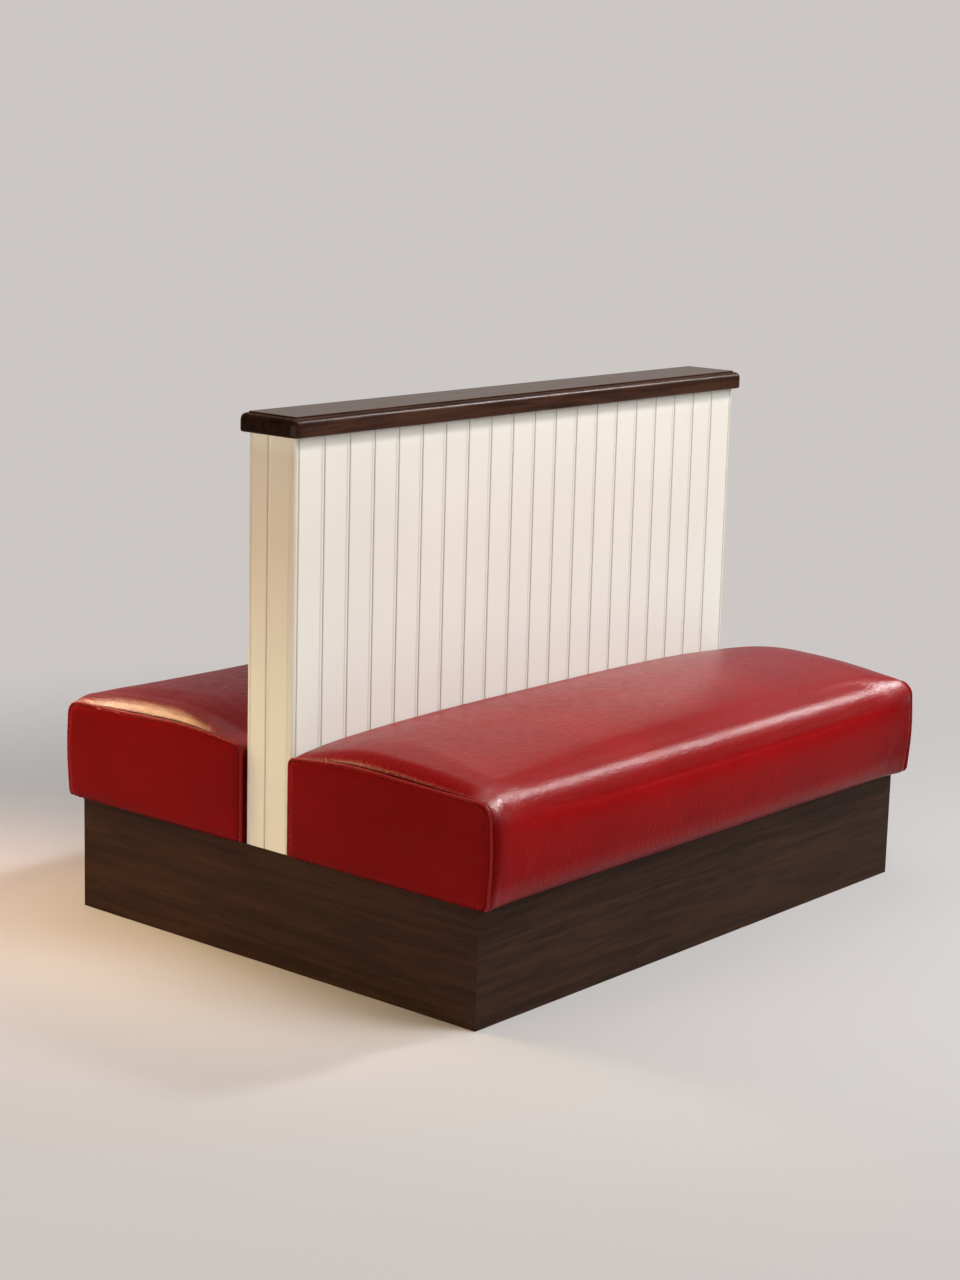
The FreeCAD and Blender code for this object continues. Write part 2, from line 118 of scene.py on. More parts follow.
class BoothSeatSizes(bpy.types.PropertyGroup):
    """Sizes of the upholstered seats."""

    depth: FloatProperty(
        name="Depth", description="Depth of the seat at mid length, at its fullest height",
        default=0.508, unit="LENGTH")
    end_back_height: FloatProperty(
        name="End Back Height", description="Height of the back edge at the end seam",
        default=0.193, unit="LENGTH")
    end_crown_height: FloatProperty(
        name="End Crown Height", description="Height of the crown at the end seam",
        default=0.208, unit="LENGTH")
    end_front_height: FloatProperty(
        name="End Front Height", description="Height of the front shoulder at the end seam",
        default=0.198, unit="LENGTH")
    end_edge_lift: FloatProperty(
        name="End Edge Lift", description="How far the lower edge rises at the end seams",
        default=0.0035, unit="LENGTH")
    middle_back_height: FloatProperty(
        name="Middle Back Height", description="Height of the back edge at mid length",
        default=0.220, unit="LENGTH")
    middle_crown_height: FloatProperty(
        name="Middle Crown Height", description="Height of the crown at mid length",
        default=0.247, unit="LENGTH")
    middle_front_height: FloatProperty(
        name="Middle Front Height", description="Height of the front shoulder at mid length",
        default=0.210, unit="LENGTH")
    end_face_setback: FloatProperty(
        name="End Face Setback", description="How far the front face is drawn back at the end seam",
        default=0.009, unit="LENGTH")
    end_lip_tuck: FloatProperty(
        name="End Lip Tuck", description="How far the lower edge is tucked in at the end seam",
        default=0.008, unit="LENGTH")
    middle_lip_tuck: FloatProperty(
        name="Middle Lip Tuck", description="How far the lower edge is tucked in at mid length",
        default=0.022, unit="LENGTH")
    end_shoulder_round: FloatProperty(
        name="End Shoulder Radius", description="Radius of the front shoulder at the end seam",
        default=0.026, unit="LENGTH")
    middle_shoulder_round: FloatProperty(
        name="Middle Shoulder Radius", description="Radius of the front shoulder at mid length",
        default=0.056, unit="LENGTH")
    roll_rise: FloatProperty(
        name="Seam Roll Rise", description="How far the top rises beside the end seams",
        default=0.012, unit="LENGTH")
    roll_width: FloatProperty(
        name="Seam Roll Width", description="Width of the top's rise beside the end seams",
        default=0.038, unit="LENGTH")
    face_roll_rise: FloatProperty(
        name="Face Roll Rise", description="How far the front comes forward beside the end seams",
        default=0.009, unit="LENGTH")
    face_roll_width: FloatProperty(
        name="Face Roll Width", description="Width of the front's roll beside the end seams",
        default=0.020, unit="LENGTH")
    panel_rise: FloatProperty(
        name="End Panel Rise", description="How far the end panels rise beside their seams",
        default=0.0050, unit="LENGTH")
    panel_roll_width: FloatProperty(
        name="End Panel Roll Width", description="Width of the rise along the end panels' rims",
        default=0.018, unit="LENGTH")
    panel_dome: FloatProperty(
        name="End Panel Dome", description="How far the end panels dome past their rise",
        default=0.002, unit="LENGTH")
    welt_radius: FloatProperty(
        name="Welt Radius", description="Radius of the piping in the end seams",
        default=0.0030, unit="LENGTH")
    vinyl_thickness: FloatProperty(
        name="Vinyl Thickness", description="Thickness of the covers",
        default=0.0012, unit="LENGTH")
    swell: FloatProperty(
        name="Swell", description="How far the covers fill out in the cloth simulation",
        default=0.005, unit="LENGTH")


class BoothColours(bpy.types.PropertyGroup):
    """Colours of the booth's finishes."""

    vinyl: FloatVectorProperty(
        name="Vinyl", description="Red of the upholstery",
        default=(0.245, 0.0040, 0.0050), size=3, subtype="COLOR", min=0, max=1)
    # The end panels' red: the vinyl's colour made darker, painted shade on the end faces
    shaded_panel_vinyl: FloatVectorProperty(
        name="Panel Vinyl", description="Red of the end panels",
        default=(0.180, 0.0035, 0.0042), size=3, subtype="COLOR", min=0, max=1)
    paint: FloatVectorProperty(
        name="Paint", description="Cream paint of the boards",
        default=(0.775, 0.735, 0.667), size=3, subtype="COLOR", min=0, max=1)
    cap: FloatVectorProperty(
        name="Cap", description="Stained walnut of the cap rail",
        default=(0.041, 0.0158, 0.0084), size=3, subtype="COLOR", min=0, max=1)
    plinth: FloatVectorProperty(
        name="Plinth", description="Stained oak of the plinth",
        default=(0.035, 0.0160, 0.0085), size=3, subtype="COLOR", min=0, max=1)


class BoothStageSettings(bpy.types.PropertyGroup):
    """Camera, floor and backdrop."""

    camera_place: FloatVectorProperty(
        name="Camera Place", description="Where the camera stands",
        default=(-4.091, -3.363, 1.645), size=3, subtype="TRANSLATION", unit="LENGTH")
    camera_aim: FloatVectorProperty(
        name="Camera Aim", description="Direction in which the camera looks",
        default=(0.7498, 0.6294, -0.2042), size=3, subtype="DIRECTION")
    camera_roll: FloatProperty(
        name="Camera Roll", description="Turn of the picture about the line of sight",
        default=math.radians(1.53), subtype="ANGLE")
    camera_lens: FloatProperty(
        name="Focal Length", description="Focal length in millimetres for a 36 mm long side",
        default=72.53, subtype="DISTANCE_CAMERA")
    backdrop: FloatVectorProperty(
        name="Backdrop", description="Colour behind the booth",
        default=(0.604, 0.571, 0.552), size=3, subtype="COLOR", min=0, max=1)
    floor: FloatVectorProperty(
        name="Floor", description="Colour of the floor",
        default=(0.500, 0.490, 0.485), size=3, subtype="COLOR", min=0, max=1)


# Materials

class Nodes:
    """A short way to build a material's node tree."""

    def __init__(self, name):
        self.material = bpy.data.materials.new(name)
        self.material.use_nodes = True
        self.tree = self.material.node_tree
        self.tree.nodes.clear()
        self.output = self.tree.nodes.new("ShaderNodeOutputMaterial")

    def feed(self, socket, value):
        """Links an input to another node's socket, or sets it to a value."""
        if isinstance(value, bpy.types.NodeSocket):
            self.tree.links.new(value, socket)
        else:
            socket.default_value = value

    def add(self, kind, settings=None, **inputs):
        """A node with its settings and inputs, which are values or other nodes' sockets."""
        node = self.tree.nodes.new(kind)
        for key, value in (settings or {}).items():
            setattr(node, key, value)
        for key, value in inputs.items():
            self.feed(node.inputs[key.replace("_", " ")], value)
        return node

    def math(self, operation, a, b=0.0, c=0.0):
        """The result of a Math node."""
        node = self.add("ShaderNodeMath", {"operation": operation})
        for socket, value in zip(node.inputs, (a, b, c)):
            self.feed(socket, value)
        return node.outputs[0]

    def place(self, scale=(1, 1, 1)):
        """Object coordinates, scaled."""
        coordinates = self.add("ShaderNodeTexCoord").outputs["Object"]
        return self.add("ShaderNodeMapping", Vector=coordinates, Scale=scale).outputs[0]

    def axes(self):
        """X, Y and Z of the object coordinates."""
        coordinates = self.add("ShaderNodeTexCoord").outputs["Object"]
        return self.add("ShaderNodeSeparateXYZ", Vector=coordinates).outputs

    def noise(self, vector, scale, detail=3.0, roughness=0.5, distortion=0.0):
        """The value of a noise texture."""
        node = self.add("ShaderNodeTexNoise", Vector=vector, Scale=scale, Detail=detail,
                        Roughness=roughness, Distortion=distortion)
        return node.outputs["Fac"]

    def ramp(self, value, low, high, to_low=0.0, to_high=1.0):
        """A value carried from one range to another, eased at both ends."""
        node = self.add("ShaderNodeMapRange", {"interpolation_type": "SMOOTHSTEP"}, Value=value,
                        From_Min=low, From_Max=high, To_Min=to_low, To_Max=to_high)
        return node.outputs[0]

    def mix(self, factor, a, b):
        """The mix of two colours."""
        node = self.add("ShaderNodeMix", {"data_type": "RGBA"})
        self.feed(node.inputs[0], factor)
        for index, value in ((6, a), (7, b)):
            if not isinstance(value, bpy.types.NodeSocket):
                value = tuple(value) + (1.0,)
            self.feed(node.inputs[index], value)
        return node.outputs[2]

    def bump(self, height, distance, strength=1.0, normal=None):
        """A normal bent by a height in metres."""
        node = self.add("ShaderNodeBump", Height=height, Distance=distance, Strength=strength)
        if normal is not None:
            self.feed(node.inputs["Normal"], normal)
        return node.outputs[0]

    def finish(self, **inputs):
        """Ends the tree with a Principled shader."""
        shader = self.add("ShaderNodeBsdfPrincipled", **inputs)
        self.tree.links.new(shader.outputs[0], self.output.inputs["Surface"])
        return self.material


def shade(colour, factor):
    """A colour made darker or lighter by a factor."""
    return tuple(min(1.0, c * factor) for c in colour)


def vinyl_grain(n, depth):
    """The pebbled grain of vinyl, its tone from place to place, and its gloss."""
    plain = n.place()
    cells = n.add("ShaderNodeTexVoronoi", {"feature": "SMOOTH_F1"}, Vector=plain, Scale=420.0,
                  Smoothness=0.6).outputs["Distance"]
    pebble = n.noise(plain, 170.0, 2.5, 0.6)
    sway = n.noise(plain, 26.0, 2.0, 0.5)
    tone = n.ramp(n.noise(plain, 5.0, 3.0, 0.55), 0.3, 0.7)
    gloss = n.ramp(n.noise(plain, 60.0, 3.0, 0.6), 0.3, 0.7, 0.29, 0.38)
    fine = n.bump(cells, 0.00020 * depth)
    middle = n.bump(pebble, 0.0011 * depth, 1.0, fine)
    return n.bump(sway, 0.0012 * depth, 0.6, middle), tone, gloss


# Where the main covers' finish and painted shade change, in metres: where each change starts and where
# it ends.
# First distances from an end seam, then heights, then places along X and along Y.
SEAM_SHADOW, SEAM_GLOSS = (0.0034, 0.0066), (0.0035, 0.0065)
PUCKERED, SEAM_TOP_SHADE, SEAM_FACE_SHADE = (0.004, 0.045), (0.02, 0.14), (0.006, 0.055)
ROLL_START, ROLL_END, PAST_ROLL = (0.006, 0.011), (0.026, 0.048), (0.030, 0.050)
LIP, FOOT, PUCKER_RISE = (0.245, 0.285), (0.235, 0.300), (0.30, 0.42)
SHOULDER_GLOSS, FACE_TOP = (0.385, 0.420), (0.395, 0.425)
CORNER_GLOSS, ROLL_GLOSS = (0.400, 0.422), (0.400, 0.425)
REAR_SHADE_TOP, FLAT_TOP = (0.425, 0.445), (0.432, 0.446)
NEAR_END, NEAR_HALF, FAR_HALF, FAR_END = (-0.69, -0.58), (-0.25, 0.15), (-0.1, 0.45), (0.50, 0.69)
FRONT_EDGE, INNER_FRONT, INNER_BACK = (-0.545, -0.505), (-0.54, -0.49), (-0.05, 0.05)
REAR_SHADE_SIDE, REAR_ROLLS = (0.04, 0.12), (0.03, 0.10)


def cover_vinyl(name, colour, seam):
    """Red vinyl, glossiest along the shoulder and the end rolls, and puckered beside the seams.

    The front is dull, with painted shade low down, beside its seams and towards the far end. The
    front seat's top has painted shade and is calmer towards its end seams. The rear seat's top
    has painted shade all over, and its end rolls are glossier.
    """
    n = Nodes(name)
    wide, tone, gloss = vinyl_grain(n, 1.0)
    x, y, z = n.axes()
    away = n.math("SUBTRACT", seam, n.math("ABSOLUTE", x))
    inner = n.math("MULTIPLY", n.ramp(y, *INNER_FRONT), n.ramp(y, *INNER_BACK, 1.0, 0.0))

    base = n.mix(tone, shade(colour, 0.93), shade(colour, 1.07))
    base = n.mix(n.ramp(away, *SEAM_SHADOW, 0.85, 0.0), base, shade(colour, 0.10))
    # Painted shade on the rear seat's top, where the partition's shadow falls
    rear = n.math("MULTIPLY", n.ramp(y, *REAR_SHADE_SIDE, 0.0, 0.42), n.ramp(z, *REAR_SHADE_TOP))
    base = n.mix(rear, base, shade(colour, 0.20))
    # Painted shade on the front seat's top towards its end seams
    seam_top_shade = n.math("MULTIPLY", inner, n.ramp(away, *SEAM_TOP_SHADE, 0.26, 0.0))
    base = n.mix(seam_top_shade, base, shade(colour, 0.3))
    # Painted shade on the front: beside the end seams, low down and towards the far end
    face_shade = n.math("MAXIMUM", n.ramp(away, *SEAM_FACE_SHADE, 0.50, 0.0), n.ramp(z, *FOOT, 0.25, 0.0))
    face_shade = n.math("MAXIMUM", face_shade, n.ramp(x, *FAR_END, 0.0, 0.36))
    face_shade = n.math("MULTIPLY", face_shade, n.ramp(z, *FACE_TOP, 1.0, 0.0))
    base = n.mix(face_shade, base, shade(colour, 0.30))

    pucker = n.noise(n.place((0.12, 1, 1)), 95.0, 1.5, 0.5)
    beside = n.math("MULTIPLY", pucker, n.ramp(away, *PUCKERED, 1.0, 0.0))
    wide = n.bump(n.math("MULTIPLY", beside, n.ramp(z, *PUCKER_RISE, 0.15, 1.0)), 0.0012, 1.0, wide)

    shoulder = n.math("MULTIPLY_ADD", n.ramp(z, *SHOULDER_GLOSS), n.ramp(x, *FAR_HALF, 0.28, 0.60), 0.03)
    corner = n.math("MULTIPLY", n.ramp(x, *NEAR_END, 0.60, 0.0), n.ramp(z, *CORNER_GLOSS))
    corner = n.math("MULTIPLY", corner, n.ramp(y, *FRONT_EDGE, 1.0, 0.0))
    calm = n.math("MULTIPLY", inner, n.ramp(away, *ROLL_END, 0.27, 0.0))
    calm = n.math("MULTIPLY", calm, n.ramp(away, *ROLL_START))
    lip = n.ramp(z, *LIP, 0.10, 0.0)
    flat = n.math("MULTIPLY", n.ramp(z, *FLAT_TOP), n.ramp(away, *PAST_ROLL))
    rolled = n.math("MULTIPLY", n.ramp(y, *REAR_ROLLS, 0.0, 0.30), n.ramp(away, *PAST_ROLL, 1.0, 0.0))
    shoulder = n.math("ADD", shoulder, n.math("MULTIPLY", rolled, n.ramp(z, *ROLL_GLOSS)))
    drop = n.math("ADD", calm, n.math("MULTIPLY", flat, n.ramp(x, *NEAR_HALF, 0.18, 0.05)))
    level = n.math("SUBTRACT", n.math("ADD", n.math("ADD", shoulder, lip), corner), drop)
    level = n.math("MULTIPLY", n.math("MAXIMUM", level, 0.03), n.ramp(away, *SEAM_GLOSS, 0.1, 1.0))
    return n.finish(Base_Color=base, Roughness=gloss, Normal=wide, Specular_IOR_Level=level)


def shaded_panel_vinyl(name, colour, seam):
    """The end panels' duller, darker red vinyl, the darker colour painted shade; painted shade also
    where the rim sinks into the seam.
    """
    n = Nodes(name)
    wide, tone, gloss = vinyl_grain(n, 0.5)
    proud = n.math("SUBTRACT", n.math("ABSOLUTE", n.axes()[0]), seam)
    base = n.mix(tone, shade(colour, 0.93), shade(colour, 1.07))
    # Painted shade where the panel's rim sinks into the seam
    base = n.mix(n.ramp(proud, 0.0006, 0.0034, 0.95, 0.0), base, shade(colour, 0.05))
    return n.finish(Base_Color=base, Roughness=gloss, Normal=wide, Specular_IOR_Level=0.04)


def piping_vinyl(name, colour):
    """The piping's red vinyl."""
    n = Nodes(name)
    wide, tone, gloss = vinyl_grain(n, 0.4)
    base = n.mix(tone, shade(colour, 0.93), shade(colour, 1.07))
    return n.finish(Base_Color=base, Roughness=gloss, Normal=wide, Specular_IOR_Level=0.18)


# Heights at which painted light makes the paint lighter, and how light it gets
PAINT_FOOT, PAINT_HEAD = (0.48, 0.85), (0.985, 1.025)
PAINT_LIFT = (1.07, 1.17, 1.20)
PAINT_LIGHTEST = 0.88
JOINT_DUST = (0.30, 0.20, 0.13)


def cream_paint(name, colour, joints=None):
    """Satin cream paint with faint brush marks, with painted light low down and just under the cap.

    joints gives the V joints that hold dust: the axis across them, the first one's place, their
    pitch, and the direction in which they are counted.
    """
    n = Nodes(name)
    brush = n.noise(n.place((60, 60, 2.2)), 6.0, 3.0, 0.55)
    tone = n.noise(n.place(), 2.4, 3.0, 0.5)
    base = n.mix(n.ramp(tone, 0.3, 0.75), shade(colour, 0.97), shade(colour, 1.02))
    height = n.axes()[2]
    # Painted light low down, and just under the cap where its shadow falls
    foot = n.ramp(height, *PAINT_FOOT, 0.8, 0.0)
    head = n.ramp(height, *PAINT_HEAD, 0.0, 0.9)
    light = tuple(min(PAINT_LIGHTEST, c * k) for c, k in zip(colour, PAINT_LIFT))
    base = n.mix(n.math("MAXIMUM", foot, head), base, light)
    if joints:
        axis, start, pitch, direction = joints
        along = n.math("MULTIPLY_ADD", n.axes()[axis], direction, -start)
        cell = n.math("PINGPONG", n.math("DIVIDE", along, pitch), 0.5)
        away = n.math("MULTIPLY", cell, pitch)
        base = n.mix(n.ramp(away, 0.0004, 0.0022, 0.55, 0.0), base, JOINT_DUST)
    gloss = n.ramp(brush, 0.3, 0.7, 0.33, 0.42)
    return n.finish(Base_Color=base, Roughness=gloss, Normal=n.bump(brush, 0.00025),
                    Specular_IOR_Level=0.5)


# The cap's polished top, measured down from its highest point, its stained ends, and the lighter colour
# painted on its top as sheen
POLISH_LOW, POLISH_HIGH = 0.0016, 0.0006
CAP_ENDS = (0.709, 0.7145)
PAINTED_TOP_SHEEN = (0.104, 0.047, 0.018)


def stained_wood(name, colour, along, gloss, specular, contrast, top=None):
    """Stained wood: long dark grain lines, pores and slow changes of tone along one axis.

    Above the height of a top it has a polish and a lighter colour, a painted sheen; its ends take the
    stain darker.
    """
    n = Nodes(name)
    stretch = [1.0, 1.0, 1.0]
    stretch[along] = 0.055
    run = n.place(tuple(stretch))
    warp = n.noise(run, 4.0, 2.0, 0.5)
    grain = n.noise(run, 55.0, 5.0, 0.65, 0.6)
    fibre = n.noise(run, 340.0, 3.0, 0.6)
    slow = n.ramp(warp, 0.3, 0.7)
    lines = n.ramp(grain, 0.36, 0.66)
    pores = n.ramp(fibre, 0.52, 0.72)
    dark = n.mix(lines, shade(colour, 1 - contrast), shade(colour, 1 + contrast))
    toned = n.mix(slow, dark, shade(colour, 1.12))
    base = n.mix(n.math("MULTIPLY", pores, 0.55), n.mix(0.65, toned, dark), shade(colour, 0.35))
    rough = n.ramp(grain, 0.3, 0.7, gloss, gloss + 0.08)
    fine = n.bump(n.math("SUBTRACT", 1.0, pores), 0.00008)
    normal = n.bump(grain, 0.00022, 0.8, fine)
    if top is None:
        return n.finish(Base_Color=base, Roughness=rough, Normal=normal, Specular_IOR_Level=specular)
    x, _, z = n.axes()
    polish_and_sheen = n.ramp(z, top - POLISH_LOW, top - POLISH_HIGH)
    base = n.mix(n.ramp(n.math("ABSOLUTE", x), *CAP_ENDS, 0.0, 0.75), base, shade(colour, 0.2))
    # Painted sheen: the polished top is given a lighter colour
    base = n.mix(polish_and_sheen, base, n.mix(0.75, base, PAINTED_TOP_SHEEN))
    coat = n.math("MULTIPLY", polish_and_sheen, 0.15)
    level = n.ramp(polish_and_sheen, 0.0, 1.0, specular, 0.30)
    return n.finish(Base_Color=base, Roughness=rough, Normal=normal, Coat_Weight=coat,
                    Coat_Roughness=0.12, Specular_IOR_Level=level)


def plain_timber(name, colour, along):
    """Bare softwood with its growth rings drawn out along the member."""
    n = Nodes(name)
    stretch = [1.0, 1.0, 1.0]
    stretch[along] = 0.05
    run = n.place(tuple(stretch))
    rings = n.noise(run, 38.0, 4.0, 0.6, 0.8)
    base = n.mix(n.ramp(rings, 0.35, 0.65), shade(colour, 0.72), shade(colour, 1.1))
    return n.finish(Base_Color=base, Roughness=n.ramp(rings, 0.3, 0.7, 0.55, 0.7),
                    Normal=n.bump(rings, 0.0003))


def plywood(name, colour):
    """Plywood: plies in its edges, long grain on its faces."""
    n = Nodes(name)
    height = n.axes()[2]
    plies = n.ramp(n.math("PINGPONG", n.math("DIVIDE", height, 0.0026), 1.0), 0.35, 0.65)
    grain = n.noise(n.place((0.06, 1, 0.01)), 48.0, 4.0, 0.6, 0.5)
    faces = n.mix(n.ramp(grain, 0.35, 0.68), shade(colour, 0.78), shade(colour, 1.08))
    base = n.mix(n.math("MULTIPLY", plies, 0.35), faces, shade(colour, 0.55))
    return n.finish(Base_Color=base, Roughness=n.ramp(grain, 0.3, 0.7, 0.6, 0.72),
                    Normal=n.bump(grain, 0.0002))


def dust_cloth(colour):
    """Thin black bonded cloth with a speckled surface."""
    n = Nodes("bonded_cloth")
    speck = n.noise(n.place(), 900.0, 2.0, 0.7)
    base = n.mix(n.ramp(speck, 0.4, 0.65), shade(colour, 0.7), shade(colour, 2.2))
    return n.finish(Base_Color=base, Roughness=n.ramp(speck, 0.3, 0.7, 0.8, 0.92),
                    Normal=n.bump(speck, 0.0002))


def dress(node_name, material):
    """Gives a CAD node its finish."""
    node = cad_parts[node_name]
    node.data.materials.clear()
    node.data.materials.append(material)


# Surfaces

MIRROR = np.array([-1.0, 1.0, 1.0])
HALF_TURN = np.array([-1.0, -1.0, 1.0])


def grid_quads(rows, columns, ring=False):
    """The quads of a grid of points, counted row by row; in a ring the columns close up."""
    row = np.arange(rows - 1)[:, None] * columns
    column = np.arange(columns if ring else columns - 1)[None, :]
    after = (column + 1) % columns
    corners = (row + column, row + after, row + columns + after, row + columns + column)
    return np.stack([c.ravel() for c in corners], axis=1)


def fan_triangles(first, count, pole):
    """Triangles from a closed ring of points, numbered from the first, to a pole."""
    ring = first + np.arange(count)
    return np.stack([ring, np.roll(ring, -1), np.full(count, pole)], axis=1)


def surface(name, points, faces, material, flip=False):
    """A smooth-shaded mesh piece at the origin from an array of points and lists of faces."""
    mesh = bpy.data.meshes.new(name)
    if flip:
        faces = [face[::-1] for face in faces]
    mesh.from_pydata(points.reshape(-1, 3).tolist(), [], [list(map(int, face)) for face in faces])
    mesh.validate()
    mesh.shade_smooth()
    mesh.materials.append(material)
    piece = bpy.data.objects.new(name, mesh)
    bpy.context.scene.collection.objects.link(piece)
    return piece


def turned(points):
    """Points turned half round the booth's upright axis, from the front seat to the rear one."""
    return points * HALF_TURN


def end_pieces(kind, points, faces, material):
    """The front left piece, mirrored to the right end and turned to the rear seat.

    Gives each of the four pieces with its side and its end.
    """
    for side in ("front", "rear"):
        for end in ("left", "right"):
            mirrored = (side == "front") == (end == "right")
            placed = points * MIRROR if mirrored else points
            if side == "rear":
                placed = turned(placed)
            name = "%s_%s_%s" % (side, end, kind)
            yield side, end, surface(name, placed, faces, material, flip=mirrored)


# Seat section

def fullness(share, power, ease):
    """How full the seat is at a share of the way from mid length to the end seam.

    One minus the share to a power, the whole to another power: one at mid length, zero at the seam.
    """
    return (1 - np.abs(share) ** power) ** ease


def roll(distance, width):
    """The rise beside a seam: a quarter sine from zero at the seam to one at its width."""
    return np.sin(np.clip(distance / width, 0, 1) * math.pi / 2)


def dip(distance):
    """How far a cover is drawn down into its seam at a distance from it."""
    return SEAM_DIP * np.exp(-distance / SEAM_DIP_WIDTH)


def section_corners(sizes, slow, fast, quick, face_quick, lift):
    """The seven corners of the seat's section as depth and height, with their radii.

    slow is the fullness of the lower and back edges, fast that of the crown and the front, and
    quick and face_quick those of the rolls beside the end seam; lift raises the lower edge. Each
    is an array over the stations.
    """

    def between(end, middle, full):
        return end + (middle - end) * full

    def rolled(end, middle):
        return end + sizes.roll_rise * quick + (middle - end - sizes.roll_rise) * fast

    drawn = sizes.end_face_setback - sizes.face_roll_rise

    back = between(sizes.end_back_height, sizes.middle_back_height, slow)
    crown = rolled(sizes.end_crown_height, sizes.middle_crown_height)
    front = rolled(sizes.end_front_height, sizes.middle_front_height)
    face = sizes.depth - sizes.face_roll_rise * (1 - face_quick) - drawn * (1 - fast)
    shoulder = between(sizes.end_shoulder_round, sizes.middle_shoulder_round, quick * 0.5 + slow * 0.5)
    tuck = between(sizes.end_lip_tuck, sizes.middle_lip_tuck, fast)
    nothing = np.zeros_like(slow)
    return [
        (nothing, lift, nothing + HEEL_ROUND),
        (nothing, back, between(*BACK_ROUND, slow)),
        (nothing + sizes.depth * CREST_SHARES[0], crown, None),
        (nothing + sizes.depth * CREST_SHARES[1], crown - between(*CREST_DROP, fast), None),
        (face - SHOULDER_SETBACK - tuck * SHOULDER_LEAN, front, shoulder),
        (face, front * FACE_MIDDLE_SHARE, None),
        (face - tuck, lift, between(END_LIP_ROUND, LIP_ROUND, slow)),
    ]


def corner_arc(before, corner, after, count):
    """Points of the arc that rounds a corner: a rational quadratic curve through its ends.

    The curve leans on the corner itself with the sine of half its angle, which makes it a circle.
    """
    x, y, radius = corner
    ux, uy = before[0] - x, before[1] - y
    vx, vy = after[0] - x, after[1] - y
    run_u, run_v = np.hypot(ux, uy), np.hypot(vx, vy)
    ux, uy, vx, vy = ux / run_u, uy / run_u, vx / run_v, vy / run_v
    half = np.arccos(np.clip(ux * vx + uy * vy, -1, 1)) / 2
    if radius is None:
        reach = 0.45 * np.minimum(run_u, run_v)
    else:
        reach = np.minimum(radius / np.tan(half), 0.49 * np.minimum(run_u, run_v))
    weight = np.sin(half)[:, None]
    t = np.linspace(0, 1, count)[None, :]
    start, lean, end = (1 - t) ** 2, 2 * weight * t * (1 - t), t ** 2
    total = start + lean + end
    px = start * (x + ux * reach)[:, None] + lean * x[:, None] + end * (x + vx * reach)[:, None]
    py = start * (y + uy * reach)[:, None] + lean * y[:, None] + end * (y + vy * reach)[:, None]
    return np.stack([px / total, py / total], axis=-1)


def section_points(corners, spacing=7 * MM):
    """The rounded section at every station: arcs at the corners, even steps between them."""
    count = len(corners)
    arcs = []
    for i in range(count):
        arcs.append(corner_arc(corners[i - 1], corners[i], corners[(i + 1) % count], 11))
    pieces = []
    for i in range(count):
        pieces.append(arcs[i])
        first, last = arcs[i][:, -1:], arcs[(i + 1) % count][:, :1]
        longest = np.linalg.norm(last - first, axis=-1).max()
        steps = max(2, int(math.ceil(longest / spacing)))
        t = (np.arange(1, steps) / steps)[None, :, None]
        pieces.append(first + (last - first) * t)
    return np.concatenate(pieces, axis=1)


def drawn_in(section, inset):
    """A closed section moved inward along its normals by an inset for each station or point."""
    ahead = np.roll(section, -1, axis=1) - np.roll(section, 1, axis=1)
    ahead /= np.maximum(np.linalg.norm(ahead, axis=-1, keepdims=True), 1e-9)
    inward = np.stack([ahead[..., 1], -ahead[..., 0]], axis=-1)
    inset = np.asarray(inset)
    return section + inward * inset.reshape(inset.shape + (1,) * (3 - inset.ndim))


def seat_space(x, section):
    """Stations along X and a section in depth and height as points of the front seat."""
    back, bottom = COVER_HIGH[1], COVER_LOW[2]
    wide = np.broadcast_to(np.asarray(x)[:, None], section.shape[:2])
    return np.stack([wide, back - section[..., 0], bottom + section[..., 1]], axis=-1)


def seat_stations(seam):
    """Stations along X, closer together towards the end seams and closest inside them."""
    t = np.linspace(-1, 1, 161)
    even = seam * (0.55 * np.sin(t * math.pi / 2) + 0.45 * t)
    close = seam - np.array([2.6, 1.6, 0.8]) * MM
    return np.concatenate([even[:1], -close[::-1], even[1:-1], close, even[-1:]])


def cushion_skin(sizes, swell):
    """The main cover: the rounded section carried along X, turned in at both end seams.

    It is drawn in by the swell wherever it is free to fill out again. Also tells which of its
    points are held: those by the end seams, on the back and underneath.
    """
    seam = COVER_HIGH[0]
    x = seat_stations(seam)
    gap = seam - np.abs(x)
    slow = fullness(x / seam, *SLOW_FULLNESS)
    fast = fullness(x / seam, *FAST_FULLNESS)
    quick = roll(gap, sizes.roll_width)
    face_quick = roll(gap, sizes.face_roll_width)
    lift = sizes.end_edge_lift * (1 - roll(gap, LIFT_WIDTH))
    section = section_points(section_corners(sizes, slow, fast, quick, face_quick, lift))
    depth, height = section[..., 0], section[..., 1]
    held = (gap[:, None] < HELD_END) | (depth < HELD_BACK) | (height < HELD_LOW)
    free = roll(gap - HELD_END, EASE_END)[:, None]
    free = free * roll(depth - HELD_BACK, EASE_SIDE) * roll(height - HELD_LOW, EASE_SIDE)
    section = drawn_in(section, dip(gap)[:, None] + swell * np.maximum(free, 0))
    return seat_space(x, section), held


